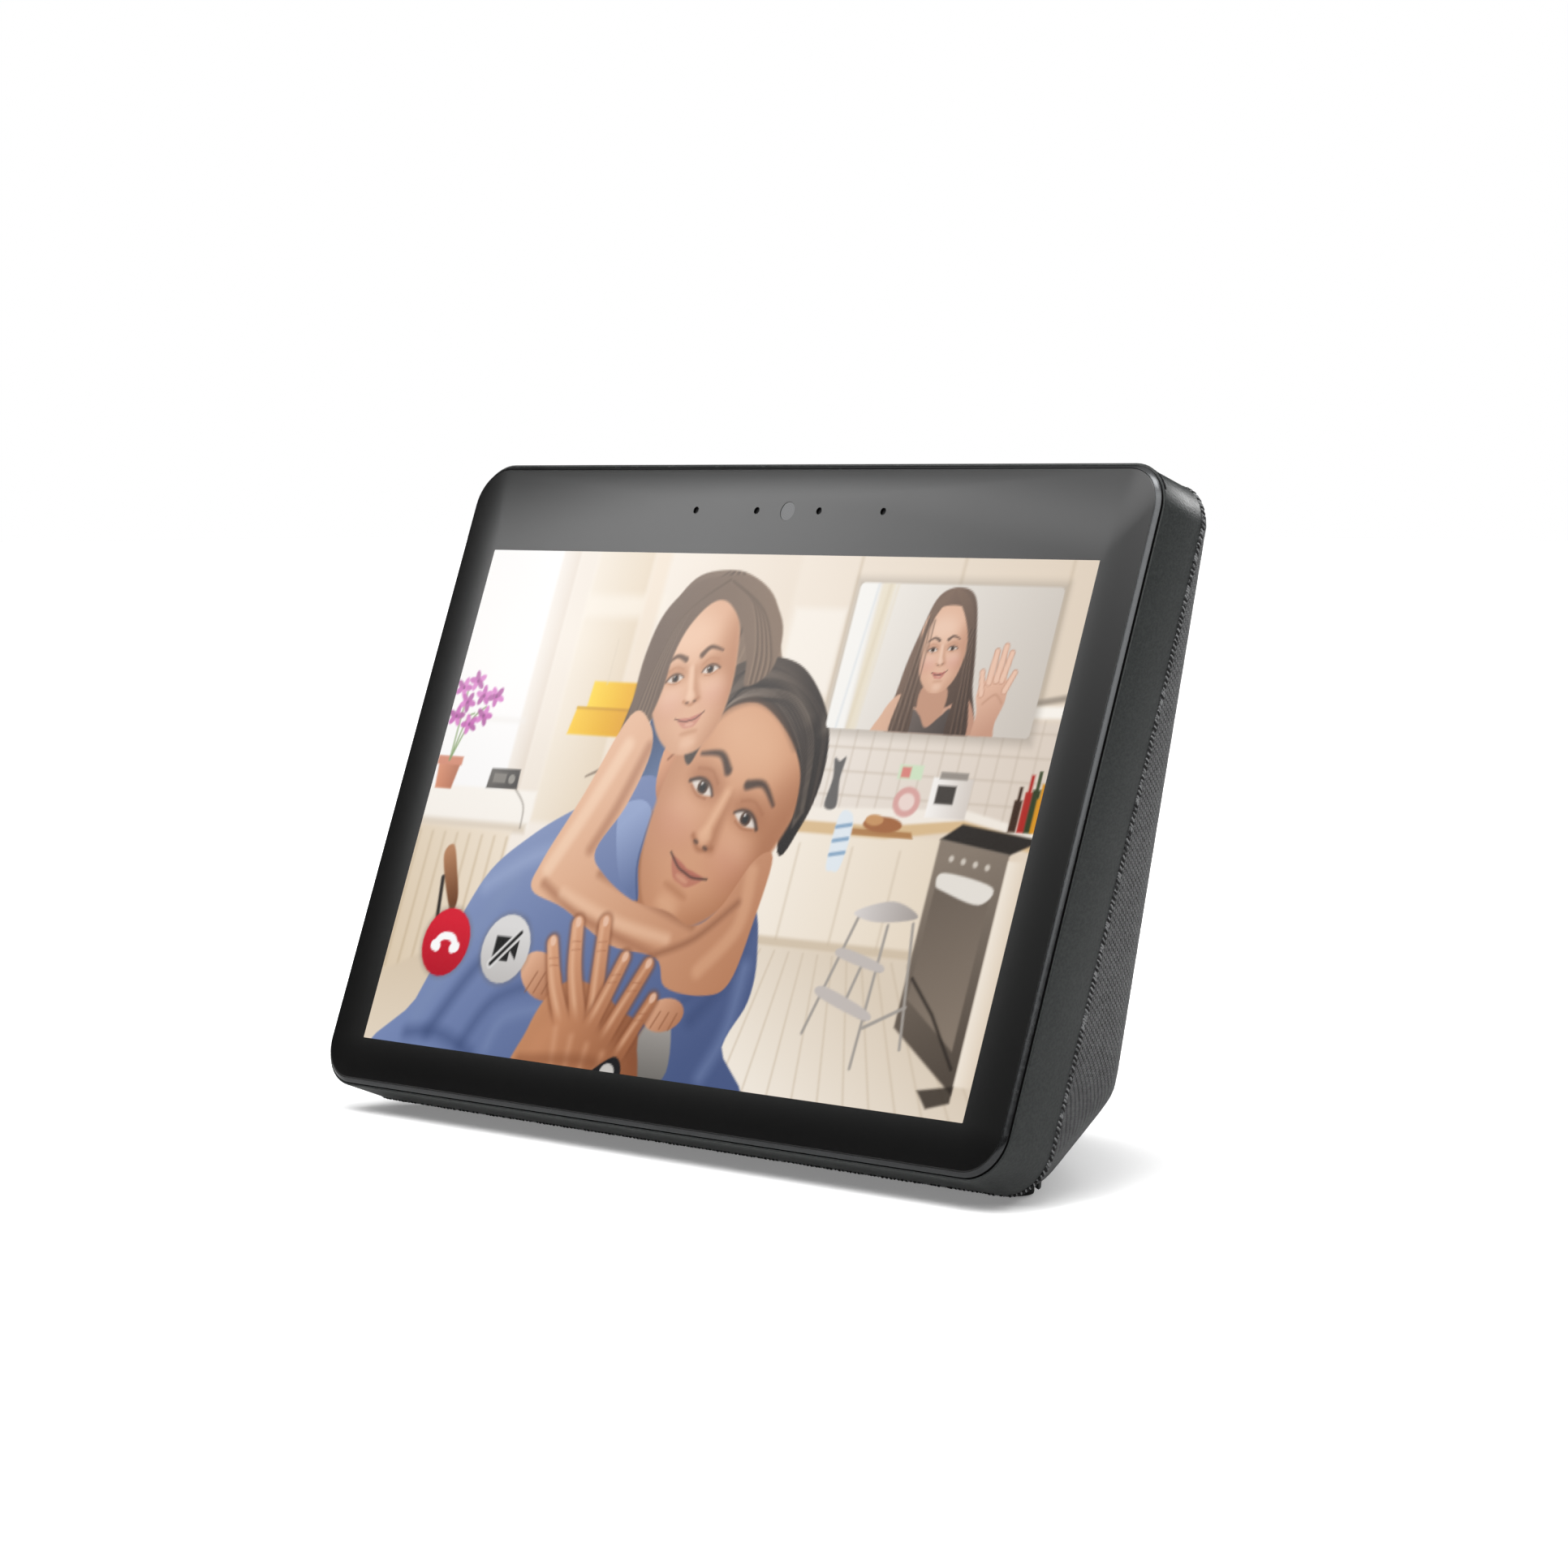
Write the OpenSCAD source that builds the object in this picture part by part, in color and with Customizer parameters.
// Smart display: a leaning touch screen in a thin frame, with a deep fabric-covered speaker body behind it.
// Millimetres, +X right as seen from the front, +Y towards the back, +Z up.
// The origin is the middle of the footprint, on the table.
// Screen space is the leaning frame of the glass: x across, y depth behind the glass face, z up the slope,
// measured from the middle of the lit picture's lower edge.

/* [Screen] */
// Width of the lit picture
picture_w = 217.2; // [210:0.2:218]
// Height of the lit picture
picture_h = 135.8; // [132:0.2:136]
// Lean of the screen back from upright, in degrees
lean = 19.86; // [19:0.02:21]
// Glass border left and right of the picture
side_border = 12.7; // [12.4:0.1:14]
// Glass border above the picture
top_border = 23; // [22.6:0.1:24]
// Glass border below the picture
bottom_border = 11.2; // [11:0.1:12]
// Corner radius of the glass
glass_r = 10; // [8:0.5:11]
// Thickness of the cover glass
glass_t = 1.1; // [0.9:0.05:1.1]

/* [Frame] */
// Width of the bright bevel round the glass
bevel = 1.05; // [0.9:0.05:1.05]
// How far the frame band stands out past the glass at the sides and below
rim = 1.7; // [1.6:0.05:2]
// How far the frame band stands out past the glass at the top
top_rim = 1.3; // [1.25:0.05:1.6]
// Corner radius of the frame band
frame_r = 11.6; // [11:0.1:12.5]
// Depth behind the glass at which the frame band starts
frame_front = 1.5; // [1.3:0.1:1.6]
// Depth behind the glass at which the fabric starts
seam = 15.7; // [15.5:0.1:16.5]
// Wall thickness of the frame band
frame_wall = 2; // [1.9:0.1:2.1]

/* [Back] */
// Overall depth of the display, front to back
overall_depth = 107; // [106:0.5:112]
// Height of the picture's lower edge above the table
screen_rise = 20; // [19.8:0.1:21]
// Thickness of the fabric cover
fabric_t = 1; // [0.8:0.1:1.2]
// Wall thickness of the rear housing
housing_wall = 2.5; // [2:0.1:2.6]
// Wall thickness of the speaker box
box_wall = 2.5; // [2:0.1:2.6]

/* [Buttons] */
// Diameter of a button cap
cap_d = 7.8; // [7:0.1:8]
// Distance between neighbouring button caps
cap_spacing = 20; // [16:1:24]
// How far a button travels when it is pressed
cap_travel = 0.5; // [0.3:0.05:0.6]

/* [Sound] */
// Angle of each speaker away from straight back, in degrees
speaker_angle = 44; // [42:0.5:46]
// Flange radius of a speaker
speaker_r = 30; // [28:0.5:30]
// Flange radius of the passive radiator
radiator_r = 40; // [36:0.5:40]

/* [Base] */
// Height of the rubber foot
foot_h = 2.2; // [2:0.1:2.4]
// Thickness of the base plate
base_t = 2; // [1.8:0.1:2.2]

/* [Hidden] */
$fn = 64;
mesh_fn = 32;                    // roundness of the blended back form
tiny = 0.01;
far = 250;                       // further than any face of the display
screen_y = -overall_depth / 2 + bottom_border * sin(lean);
glass_half = picture_w / 2 + side_border;
glass_low = -bottom_border;
glass_high = picture_h + top_border;
ring_half = glass_half + bevel;
ring_gap = 0.12;                 // shadow gap between the bevelled ring and the frame band
frame_half = glass_half + rim;
frame_low = glass_low - rim;
frame_high = glass_high + top_rim;
ring_back = 2.6;                 // depth at which the bevelled ring ends and the frame's lip starts
lip_back = 4.2;
mic_x = [-33.7, -11.2, 11.2, 33.7];
mic_z = picture_h + 11.7;
mic_hole_r = 0.95;
camera_z = picture_h + 11.6;
camera_r = 3.6;                  // barrel of the camera module
lens_r = 2.5;
lens_front = 1.38;               // depth of the lens's front and of its flat rear
lens_back = 2.4;
sensor_back = 1.35;              // the touch sensor, laminated to the glass
panel_back = 3.35;
guide_back = 5.95;
tray_back = 6.55;
panel_half = 113;
panel_low = -6.5;
panel_high = 138.5;
guide_half = 110.8;
guide_low = -4;
guide_high = 137;
tray_half = 114.5;
tray_low = -8;
tray_high = 140;
mic_board_y = [1.7, 2.5];
chassis_y = [8, 9.2];
chassis_low = -9;
chassis_high = 141.5;
board_y = [12.2, 13.8];
board_holes = [[-70, 34], [70, 34], [-70, 116], [70, 116]];
boss_x = 118;
boss_z = [18, 74, 128];
cap_r = cap_d / 2;
cap_y = 8.7;
cap_x = [-cap_spacing, 0, cap_spacing];
button_board_t = 1.2;
button_board_z = frame_high - 6.6;
switch_h = 1.9;
plunger_r = 1.2;
plunger_h = 1.4;
plunger_z = button_board_z + 1.4;
well_z = plunger_z - cap_travel - 0.4; // floor of the well that a plunger moves in
cap_stem_h = 0.7;
cap_flange_h = 1;
cap_z = plunger_z + plunger_h;
cap_proud = 0.1;                 // how far a cap's rim stands above the band, and its domed edge
cap_edge = 0.4;
cap_dish_r = cap_r - 0.4;
pocket_y = 4.6;                  // the pocket of the button board, behind the glass
pocket_deep = 8.2;
speaker_at = [85, 17.1, 65];
radiator_at = [0, 31.2, 85.5];
radiator_tilt = 15.2;
box_front = 21;                  // depth behind the glass at which the speaker box starts
box_floor = 32;                  // height above the table at which the speaker box starts
// the rounded side edge of the back, in screen space: [rearmost depth, outermost z, radius]
edge_top = [20.4, 155.5, 5];
edge_low = [37.5, 10.1, 8.5];
// the balls that round the hump, in table coordinates: [x, y, z, radius]
hump_balls = [
    [46, overall_depth / 2 - 16, 38, 16],
    [62, overall_depth / 2 - 33.5, 122, 12]
];
housing_in = fabric_t + housing_wall;
floor_top = foot_h + housing_in;
box_out = housing_in + 0.3;
box_in = box_out + box_wall;
port_floor = 10;                 // the port recess, in table coordinates
port_roof = 26;
port_half = 23;
port_y = 30;
port_wall = 2;
jack_at = [-9, 18];
jack_bore_r = 2.9;
jack_pin_r = 1.05;
jack_body_y = 14;                // where the jack's body starts and its bore ends
jack_bore_y = 17;
jack_pin_l = 11.1;
usb_at = [9, 14.5];
usb_y = 22;
usb_half = 3.9;
io_top = 11.2;                   // upper face of the input/output board
io_t = 1.6;
io_posts = [[-20, 7], [20, 7], [-20, 19], [20, 19]];
box_posts = [[-60, -19.5], [60, -19.5], [-40, 0], [40, 0]];
base_holes = [[-88, -20], [88, -20], [-50, 10], [50, 10]];

// ---- places and outlines ----

// Puts its children in screen space
module screen_space() {
    translate([0, screen_y, screen_rise]) rotate([-lean, 0, 0]) children();
}

// Extrudes an outline drawn in (x, z) from depth y0 to depth y1
module plate(y0, y1) {
    translate([0, y1, 0]) rotate([90, 0, 0]) linear_extrude(y1 - y0) children();
}

// A round bar along the depth axis
module depth_rod(x, z, y0, y1, r) {
    translate([x, y0, z]) rotate([-90, 0, 0]) cylinder(h = y1 - y0, r = r);
}

// A rectangle with round corners, centred in x, from z = low to z = high
module round_rect(half, low, high, r) {
    translate([-half, low + r]) square([2 * half, high - low - 2 * r]);
    translate([-half + r, low]) square([2 * (half - r), high - low]);
    for (x = [-half + r, half - r]) {
        for (z = [low + r, high - r]) {
            translate([x, z]) circle(r);
        }
    }
}

// The outline of the frame band and of the glass, shrunk by inset
module frame_outline(inset) {
    round_rect(frame_half - inset, frame_low + inset, frame_high - inset, frame_r - inset);
}

module glass_outline(inset) {
    round_rect(glass_half - inset, glass_low + inset, glass_high - inset, glass_r - inset);
}

// A rectangle without round corners, placed the same way
module plain_rect(half, low, high) {
    translate([-half, low]) square([2 * half, high - low]);
}

// A round-cornered plate whose front edge is cut back at 45 degrees by cut
module bevelled_plate(half, low, high, r, front, back, cut) {
    full = front + cut;
    plate(full, back) round_rect(half, low, high, r);
    translate([0, 0, low + r]) linear_extrude(high - low - 2 * r)
        polygon([[-half, full], [half, full], [half - cut, front], [cut - half, front]]);
    translate([r - half, 0, 0]) rotate([90, 0, 90]) linear_extrude(2 * (half - r))
        polygon([[full, low], [full, high], [front, high - cut], [front, low + cut]]);
    for (x = [r - half, half - r]) {
        for (z = [low + r, high - r]) {
            translate([x, front, z]) rotate([-90, 0, 0]) cylinder(h = cut, r1 = r - cut, r2 = r);
        }
    }
}

// Points of an arc, from angle a0 to angle a1
function arc(centre, r, a0, a1, steps) =
    [for (i = [0:steps]) centre + r * [cos(a0 + (a1 - a0) * i / steps), sin(a0 + (a1 - a0) * i / steps)]];

function mirrored(points) = [for (i = [len(points) - 1:-1:0]) [-points[i][0], points[i][1]]];

// Half of a footprint that is widest at the front and narrows to the back, with corner radius r
function half_footprint(wide, front, waist, narrow, rear, r) =
    let (slant = atan2(wide - narrow, rear - r - waist))
    concat(
        arc([wide - r, front + r], r, -90, 0, 8),
        arc([wide - r, waist], r, 0, slant, 6),
        arc([narrow - r, rear - r], r, slant, 90, 8)
    );

module footprint(wide, front, waist, narrow, rear, r) {
    half = half_footprint(wide, front, waist, narrow, rear, r);
    polygon(concat(half, mirrored(half)));
}

module foot_outline() {
    footprint(105.6, -29.4, -24, 62.8, 23.8, 5);
}

// ---- the blended form of the back, shrunk by inset on every side ----

module blend_ball(at, r) {
    translate(at) sphere(r = r, $fn = mesh_fn);
}

// Radius of a side-edge ball, and its centre in screen space; up is 1 for the lower ball and -1 for the upper
function ball_r(edge, inset) = max(edge[2] - inset, 0.5);

function edge_ball(side, inset, edge, up) =
    let (room = inset + ball_r(edge, inset))
    [side * (frame_half - room), edge[0] - room, edge[1] + up * room];

// The uncut form starts 1 mm further forward than back_form, which cuts it to a flat edge
module back_hull(inset, reach) {
    hull() {
        screen_space() {
            plate(seam - reach - 1, seam + tiny) frame_outline(inset, $fn = 48);
            for (side = [-1, 1]) {
                blend_ball(edge_ball(side, inset, edge_top, -1), ball_r(edge_top, inset));
                blend_ball(edge_ball(side, inset, edge_low, 1), ball_r(edge_low, inset));
            }
        }
        for (side = [-1, 1]) {
            for (ball = hump_balls) {
                blend_ball([side * ball[0], ball[1], ball[2]], ball[3] - inset);
            }
        }
        translate([0, 0, foot_h + inset]) linear_extrude(tiny)
            footprint(107 - inset, inset - 37, -24, 66 - inset, 26 - inset, 9 - inset);
    }
}

// What lies behind the given depth
module behind(depth) {
    screen_space() translate([-far, depth, -far]) cube([2 * far, far, 2 * far]);
}

// The form starts reach in front of the seam
module back_form(inset, reach = 0) {
    intersection() {
        back_hull(inset, reach);
        behind(seam - reach);
    }
}

// ---- screen stack ----

module cover_glass() {
    color("#15161a") screen_space() difference() {
        plate(0, glass_t) glass_outline(0.05);
        for (x = mic_x) {
            depth_rod(x, mic_z, -1, glass_t + 1, mic_hole_r);
        }
    }
}

module bezel_ring() {
    color("#6f7071") screen_space() difference() {
        bevelled_plate(
            ring_half, glass_low - bevel, glass_high + bevel, glass_r + bevel, 0, ring_back, bevel
        );
        plate(-1, glass_t) glass_outline(0);
        plate(0, ring_back + 1) round_rect(117, -9.2, 156, 4);
    }
}

module front_frame() {
    color("#3c3e3f") screen_space() difference() {
        union() {
            difference() {
                bevelled_plate(frame_half, frame_low, frame_high, frame_r, frame_front, seam, 0.4);
                plate(0, ring_back) glass_outline(-bevel - ring_gap);
                plate(0, lip_back + 1) round_rect(115.5, -8.9, 155.5, 4);
                plate(lip_back, seam + 1) frame_outline(frame_wall);
            }
            for (x = [-boss_x, boss_x]) {
                for (z = boss_z) {
                    depth_rod(x, z, lip_back, chassis_y[0], 3);
                }
            }
            for (x = [-35.5, 33]) {
                translate([x, pocket_y, button_board_z])
                    cube([2.5, pocket_deep, frame_high - frame_wall - button_board_z + 0.5]);
            }
        }
        for (x = cap_x) {
            translate([x, cap_y, frame_high - 5]) cylinder(h = 10, r = cap_r + 0.2);
        }
        for (x = [-boss_x, boss_x]) {
            for (z = boss_z) {
                depth_rod(x, z, 5, 9, 1.25);
            }
        }
    }
}

module touch_sensor() {
    color("#2a2c33") screen_space() plate(glass_t, sensor_back)
        plain_rect(panel_half - 1, guide_low, panel_high + 1);
}

module display_panel() {
    color("#e9e2cf") screen_space() plate(sensor_back, panel_back)
        plain_rect(panel_half, panel_low, panel_high);
}

module light_guide() {
    color("#f4f6f8") screen_space() plate(panel_back, guide_back)
        plain_rect(guide_half, guide_low, guide_high);
}

module backlight_tray() {
    color("#b9bcbf") screen_space() difference() {
        plate(panel_back, tray_back) plain_rect(tray_half, tray_low, tray_high);
        plate(panel_back - 1, guide_back) plain_rect(guide_half + 0.2, guide_low - 0.2, guide_high + 0.2);
    }
}

module camera_module() {
    color("#202124") screen_space() difference() {
        union() {
            depth_rod(0, camera_z, glass_t + 0.2, 4, camera_r);
            plate(4, 7) plain_rect(4.3, camera_z - 4.3, camera_z + 4.3);
        }
        depth_rod(0, camera_z, glass_t - 0.1, lens_back, lens_r + 0.05);
        depth_rod(0, camera_z, lens_back - 0.4, 3.6, lens_r / 2);
    }
}

module camera_lens() {
    color("#3b4654") screen_space() translate([0, lens_back, camera_z]) rotate([90, 0, 0])
        rotate_extrude() polygon(concat(
            [[0, 0], [lens_r, 0]],
            [for (a = [0:15:90]) [lens_r * cos(a), (lens_back - lens_front) * (0.5 + 0.5 * sin(a))]]
        ));
}

module microphone_board() {
    color("#1f5a38") screen_space() difference() {
        plate(mic_board_y[0], mic_board_y[1]) plain_rect(40, mic_z - 5.8, mic_z + 5.8);
        depth_rod(0, camera_z, 1, 3, camera_r + 1);
        for (x = mic_x) {
            depth_rod(x, mic_z, 1, 3, 0.5);
        }
    }
}

module microphones() {
    color("#c9b26a") screen_space() for (x = mic_x) {
        translate([x - 1.9, mic_board_y[1], mic_z - 1.5]) cube([3.8, 1, 3]);
    }
}

module microphone_gaskets() {
    color("#303030") screen_space() for (x = mic_x) {
        difference() {
            depth_rod(x, mic_z, glass_t, mic_board_y[0], 2.2);
            depth_rod(x, mic_z, glass_t - 1, mic_board_y[1], 1);
        }
    }
}

// ---- middle ----

module chassis_plate() {
    color("#9aa0a4") screen_space() difference() {
        union() {
            plate(chassis_y[0], chassis_y[1]) round_rect(120.6, chassis_low, chassis_high, 6);
            for (p = board_holes) {
                depth_rod(p[0], p[1], chassis_y[1], board_y[0], 3);
            }
        }
        for (x = [-boss_x, boss_x]) {
            for (z = boss_z) {
                depth_rod(x, z, 7, 10, 1.4);
            }
        }
        for (p = board_holes) {
            depth_rod(p[0], p[1], 9.5, 13, 1.25);
        }
        plate(7, 10) plain_rect(17, 30.5, 37.5);
    }
}

module main_board() {
    color("#1c5c3a") screen_space() difference() {
        plate(board_y[0], board_y[1]) round_rect(76, 28, 122, 3);
        for (p = board_holes) {
            depth_rod(p[0], p[1], 12, 14, 1.4);
        }
    }
}

module processor() {
    color("#26282a") screen_space() plate(board_y[1], 15.4) plain_rect(7.5, 72, 87);
}

module shield_can() {
    color("#c4c7c9") screen_space() difference() {
        plate(board_y[1], 17.4) round_rect(24, 58, 100, 2);
        plate(board_y[1] - 1, 17) round_rect(23.6, 58.4, 99.6, 1.6);
    }
}

module heat_spreader() {
    color("#d0d3d6") screen_space() plate(17.4, 19.4) round_rect(60, 40, 116, 4);
}

module wifi_antennas() {
    color("#2d6a48") screen_space() for (x = [-110, 80]) {
        translate([x, chassis_y[1], 108]) cube([30, 0.8, 9]);
    }
}

module display_ribbon() {
    color("#c07a2c") screen_space() translate([-15, tray_back, 34]) cube([30, board_y[0] - tray_back, 0.3]);
}

// A pan-head screw pointing towards the glass: its head starts at depth y
module screw(x, z, y, shaft_l, shaft_r, head_r, head_h) {
    difference() {
        union() {
            depth_rod(x, z, y - shaft_l, y, shaft_r);
            depth_rod(x, z, y, y + head_h, head_r);
        }
        translate([x - 0.4, y + head_h - 0.6, z - head_r * 0.7]) cube([0.8, 1, head_r * 1.4]);
        translate([x - head_r * 0.7, y + head_h - 0.6, z - 0.4]) cube([head_r * 1.4, 1, 0.8]);
    }
}

module board_screws() {
    color("#8d9093") screen_space() for (p = board_holes) {
        screw(p[0], p[1], board_y[1], 4, 1.2, 2.6, 1.5);
    }
}

module frame_screws() {
    color("#8d9093") screen_space() for (x = [-boss_x, boss_x]) {
        for (z = boss_z) {
            screw(x, z, chassis_y[1], 4, 1.2, 2.3, 1.4);
        }
    }
}

// ---- buttons on the top band ----

module button_cap(x) {
    color("#2b2c2d") screen_space() translate([x, cap_y, 0]) {
        flange_z = cap_z + cap_stem_h;
        rim_z = flange_z + cap_flange_h;
        translate([0, 0, cap_z]) cylinder(h = cap_stem_h, r = 1.5);
        translate([0, 0, flange_z]) cylinder(h = cap_flange_h, r = cap_r + 0.5);
        translate([0, 0, rim_z]) cylinder(h = frame_high + cap_proud - rim_z, r = cap_r);
        translate([0, 0, frame_high + cap_proud]) cylinder(h = cap_edge, r1 = cap_r, r2 = cap_dish_r);
    }
}

module switch_plunger(x) {
    color("#e4e4e2") screen_space() translate([x, cap_y, plunger_z]) cylinder(h = plunger_h, r = plunger_r);
}

module button_board() {
    color("#1f5a38") screen_space() translate([-35.5, pocket_y, button_board_z - button_board_t])
        cube([71, pocket_deep, button_board_t]);
}

module button_switches() {
    color("#55585a") screen_space() for (x = cap_x) {
        difference() {
            translate([x - 3, cap_y - 3, button_board_z]) cube([6, 6, switch_h]);
            translate([x, cap_y, well_z]) cylinder(h = 4, r = plunger_r + 0.2);
        }
    }
}

// ---- speakers: local z points out of the housing, and 0 is the flange's face ----

module at_speaker(side) {
    translate([side * speaker_at[0], speaker_at[1], speaker_at[2]])
        rotate([0, 0, -side * speaker_angle]) rotate([-90, 0, 0]) children();
}

module at_radiator() {
    translate(radiator_at) rotate([radiator_tilt - 90, 0, 0]) children();
}

module speaker_basket(side) {
    color("#3a3c3e") at_speaker(side) difference() {
        rotate_extrude() polygon([
            [25, 0], [speaker_r, 0], [speaker_r, -1.5], [25.9, -1.5], [25.9, -2.5], [17, -12],
            [17, -13.2], [8.1, -13.2], [8.1, -12], [15.6, -12], [24.7, -2.3], [25, -1.5]
        ]);
        for (turn = [0:60:300]) {
            rotate([0, 0, turn]) translate([17.5, -4, -10.5]) cube([6, 8, 7]);
        }
    }
}

module speaker_magnet(side) {
    color("#8f9294") at_speaker(side) rotate_extrude() polygon([
        [0, -13.2], [6.9, -13.2], [6.9, -17.6], [8.1, -17.6], [8.1, -13.2], [14.5, -13.2],
        [14.5, -18.6], [14, -19], [0, -19]
    ]);
}

module speaker_cone(side) {
    color("#26282a") at_speaker(side) rotate_extrude() polygon([
        [20.5, 0], [21.5, 0], [21.5, -0.5], [8.2, -9], [7.7, -9], [7.7, -8.5], [8, -8.5], [20.7, -0.4]
    ]);
}

module voice_coil(side) {
    color("#b56a35") at_speaker(side) rotate_extrude() translate([7.3, -15.8]) square([0.4, 7.3]);
}

module dust_cap(side) {
    color("#303234") at_speaker(side) rotate_extrude() polygon([
        [0, -5.6], [3, -5.9], [5.6, -6.8], [7.7, -8.5], [7.2, -8.5], [5.3, -7.2], [2.8, -6.4], [0, -6.1]
    ]);
}

// A rubber half-roll with a flat lip on each side
module roll_surround(inner, outer, lip, t) {
    mid = (inner + outer) / 2;
    r = (outer - inner) / 2;
    rotate_extrude() {
        difference() {
            translate([mid, 0]) circle(r);
            translate([mid, 0]) circle(r - t);
            translate([inner - 1, -2 * r]) square([4 * r + 2, 2 * r]);
        }
        translate([inner - lip, 0]) square([lip + 0.02, t]);
        translate([outer - 0.02, 0]) square([lip + 0.02, t]);
    }
}

module speaker_surround(side) {
    color("#1b1c1d") at_speaker(side) roll_surround(21.5, 25, 1, 0.5);
}

module radiator_frame() {
    color("#3a3c3e") at_radiator() rotate_extrude() translate([34, -2]) square([radiator_r - 34, 2]);
}

module radiator_surround() {
    color("#1b1c1d") at_radiator() roll_surround(28, 34, 2, 0.8);
}

module radiator_diaphragm() {
    color("#2c2e30") at_radiator() rotate_extrude()
        polygon([
            [0, -4.5], [9, -4.5], [9, -1.6], [24, -1.6], [26, -1], [28, -1],
            [28, 0], [25.5, 0], [23.5, -0.6], [0, -0.6]
        ]);
}

// Leads from the main board to the terminals on the speaker box
module speaker_leads() {
    color("#b33a32") screen_space() for (side = [-1, 1]) {
        for (z = [62, 66]) {
            depth_rod(side * 66, z, board_y[1], 17.5, 0.9);
            depth_rod(side * 82, z, 17.5, box_front, 0.9);
            translate([side * 66, 17.5, z]) sphere(r = 0.9);
            translate([side * 82, 17.5, z]) sphere(r = 0.9);
            translate([side * 74 - 8, 17.5, z]) rotate([0, 90, 0]) cylinder(h = 16, r = 0.9);
        }
    }
}

// ---- housing ----

// The port recess, cut out of the back along +Y, larger by grow on each side
module port_cut(grow) {
    translate([-port_half - grow, port_y - grow, port_floor - grow])
        cube([2 * (port_half + grow), 60, port_roof - port_floor + 2 * grow]);
}

module grille_slots(r, pitch, slot) {
    intersection() {
        cylinder(h = 30, r = r);
        for (i = [-floor(r / pitch):floor(r / pitch)]) {
            translate([-r, i * pitch - slot / 2, 0]) cube([2 * r, slot, 30]);
        }
    }
}

module rear_housing() {
    color("#2e3031") difference() {
        union() {
            difference() {
                back_form(fabric_t);
                back_form(housing_in, 1);
            }
            for (p = io_posts) {
                translate([p[0], p[1], floor_top - 0.5])
                    cylinder(h = io_top - io_t - floor_top + 0.5, r = 2.5);
            }
        }
        for (side = [-1, 1]) {
            at_speaker(side) grille_slots(26, 8, 5);
        }
        at_radiator() grille_slots(33, 9, 6);
        port_cut(port_wall);
        translate([0, 0, -1]) linear_extrude(base_t + foot_h + 1) foot_outline();
        for (p = base_holes) {
            translate([p[0], p[1], 0]) cylinder(h = floor_top + 2, r = 1.3);
        }
    }
}

module fabric_cover() {
    color("#6b6c6d") difference() {
        back_form(0);
        back_form(fabric_t, 1);
        port_cut(port_wall);
        translate([0, 0, -1]) linear_extrude(base_t + foot_h + 1) foot_outline();
    }
}

module box_zone(inset) {
    intersection() {
        translate([-far, -far, box_floor + inset]) cube([2 * far, 2 * far, far]);
        behind(box_front + inset);
    }
}

module speaker_box() {
    color("#26282a") difference() {
        union() {
            intersection() {
                back_form(box_out, 1);
                box_zone(0);
            }
            for (p = box_posts) {
                translate([p[0], p[1], floor_top]) cylinder(h = box_floor - floor_top + 1, r = 3);
            }
        }
        difference() {
            intersection() {
                back_form(box_in, 1);
                box_zone(box_wall);
            }
            for (side = [-1, 1]) {
                at_speaker(side) translate([0, 0, -4]) cylinder(h = 20, r = speaker_r + 2.4);
            }
            at_radiator() translate([0, 0, -5]) cylinder(h = 20, r = radiator_r + 2.4);
        }
        for (side = [-1, 1]) {
            at_speaker(side) {
                translate([0, 0, -1.5]) cylinder(h = 30, r = speaker_r);
                translate([0, 0, -5]) cylinder(h = 10, r = 26);
            }
        }
        at_radiator() {
            translate([0, 0, -2]) cylinder(h = 30, r = radiator_r);
            translate([0, 0, -6]) cylinder(h = 10, r = 34);
        }
    }
}

// ---- base and ports ----

module base_plate() {
    color("#2a2b2c") difference() {
        translate([0, 0, foot_h]) linear_extrude(base_t) foot_outline();
        for (p = base_holes) {
            translate([p[0], p[1], foot_h]) cylinder(h = 5, r = 1.4);
            translate([p[0], p[1], foot_h - 1]) cylinder(h = 2.2, r = 2.8);
        }
    }
}

module rubber_foot() {
    color("#1d1e1f") linear_extrude(foot_h) foot_outline();
}

module base_screws() {
    color("#8d9093") for (p = base_holes) {
        translate([p[0], p[1], foot_h + 0.1]) {
            cylinder(h = 1.1, r = 2.6);
            cylinder(h = 6, r = 1.2);
        }
    }
}

module port_panel() {
    color("#232425") difference() {
        intersection() {
            port_cut(port_wall);
            back_form(0);
        }
        port_cut(0);
        jack_rod(0, 60, 4.6);
        translate([usb_at[0] - usb_half - 0.2, 0, usb_at[1] - 1.7]) cube([2 * usb_half + 0.4, 60, 3.4]);
    }
}

module io_board() {
    color("#1c5c3a") translate([-24, 4, io_top - io_t]) cube([48, 22, io_t]);
}

// A round bar on the jack's axis, starting at y
module jack_rod(y, length, r) {
    translate([jack_at[0], y, jack_at[1]]) rotate([-90, 0, 0]) cylinder(h = length, r = r);
}

module power_jack() {
    color("#1a1b1c") difference() {
        union() {
            translate([jack_at[0] - 5, jack_body_y, io_top]) cube([10, 13.8, 12]);
            jack_rod(jack_body_y, port_y - jack_body_y, 4.4);
        }
        jack_rod(jack_bore_y, 20, jack_bore_r);
        jack_rod(jack_bore_y - 2.5, 4, 0.8);
    }
}

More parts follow.
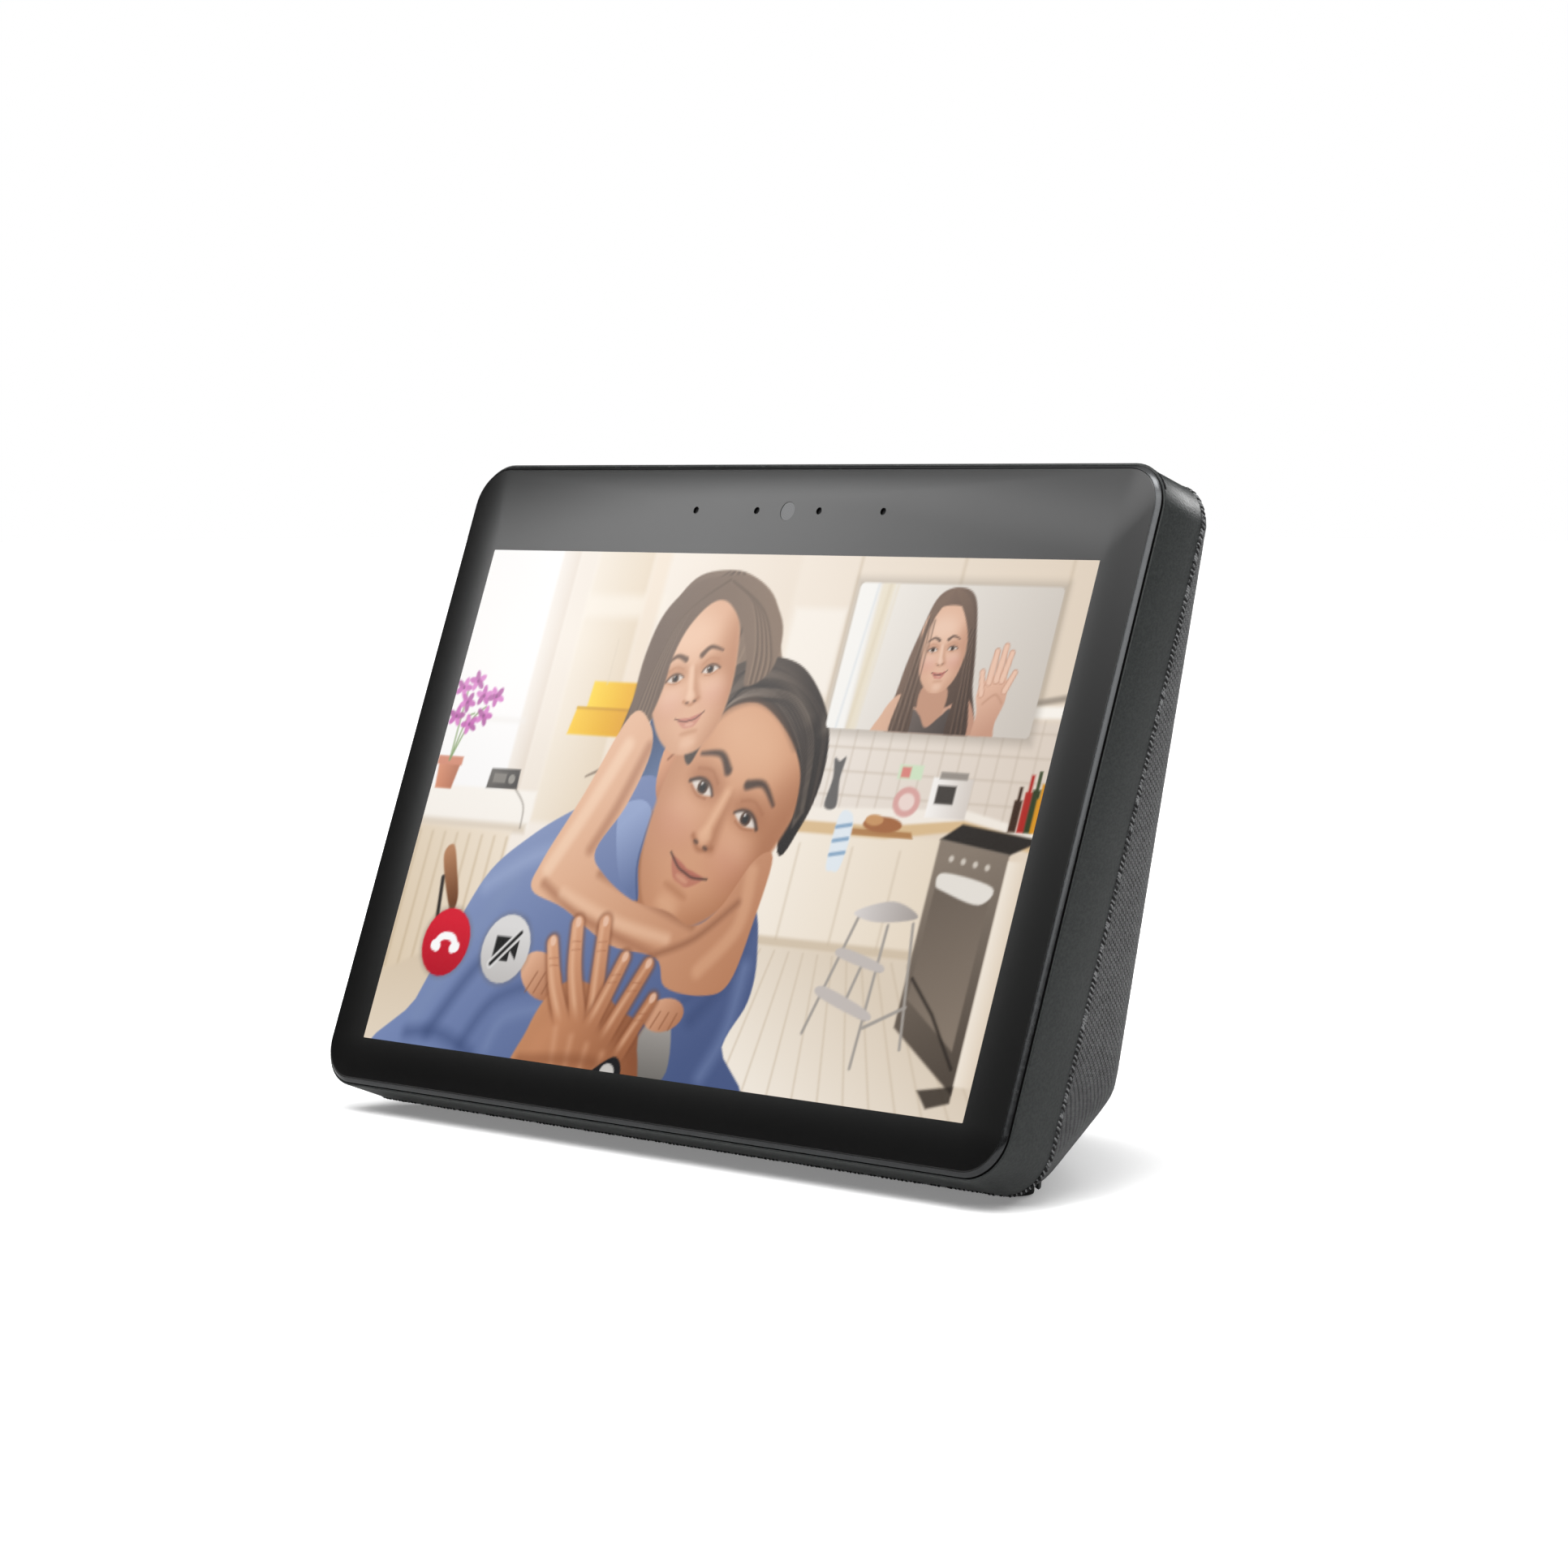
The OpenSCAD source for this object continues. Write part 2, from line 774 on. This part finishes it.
module power_jack_pin() {
    color("#d8d8d4") {
        jack_rod(jack_bore_y - 2.5, 2.5, 0.8);
        jack_rod(jack_bore_y, jack_pin_l, jack_pin_r);
        translate([jack_at[0], jack_bore_y + jack_pin_l, jack_at[1]]) rotate([-90, 0, 0])
            cylinder(h = 0.6, r1 = jack_pin_r, r2 = 0.5);
    }
}

module usb_socket() {
    color("#b4b7b9") difference() {
        union() {
            translate([usb_at[0] - usb_half, usb_y, usb_at[1] - 1.5]) cube([2 * usb_half, port_y - usb_y, 3]);
            translate([usb_at[0] - usb_half, usb_y, io_top]) cube([2 * usb_half, 5, usb_at[1] - io_top]);
        }
        difference() {
            translate([usb_at[0] - 3.5, usb_y + 1, usb_at[1] - 1.15]) cube([7, 10, 2.3]);
            translate([usb_at[0] - 1.9, usb_y, usb_at[1] - 0.1]) cube([3.8, 6.5, 0.7]);
        }
    }
}

cover_glass();
bezel_ring();
front_frame();
touch_sensor();
display_panel();
light_guide();
backlight_tray();
camera_module();
camera_lens();
microphone_board();
microphones();
microphone_gaskets();
chassis_plate();
main_board();
processor();
shield_can();
heat_spreader();
wifi_antennas();
display_ribbon();
board_screws();
frame_screws();
button_cap(cap_x[0]);  // privacy_button_cap
button_cap(cap_x[1]);  // volume_down_cap
button_cap(cap_x[2]);  // volume_up_cap
switch_plunger(cap_x[0]);  // privacy_button_plunger
switch_plunger(cap_x[1]);  // volume_down_plunger
switch_plunger(cap_x[2]);  // volume_up_plunger
button_board();
button_switches();
rear_housing();
fabric_cover();
speaker_box();
speaker_basket(-1);  // speaker_basket_left
speaker_basket(1);  // speaker_basket_right
speaker_magnet(-1);  // speaker_magnet_left
speaker_magnet(1);  // speaker_magnet_right
speaker_cone(-1);  // speaker_cone_left
speaker_cone(1);  // speaker_cone_right
voice_coil(-1);  // voice_coil_left
voice_coil(1);  // voice_coil_right
dust_cap(-1);  // dust_cap_left
dust_cap(1);  // dust_cap_right
speaker_surround(-1);  // speaker_surround_left
speaker_surround(1);  // speaker_surround_right
radiator_frame();
radiator_surround();
radiator_diaphragm();
speaker_leads();
base_plate();
rubber_foot();
base_screws();
port_panel();
power_jack();
power_jack_pin();
usb_socket();
io_board();
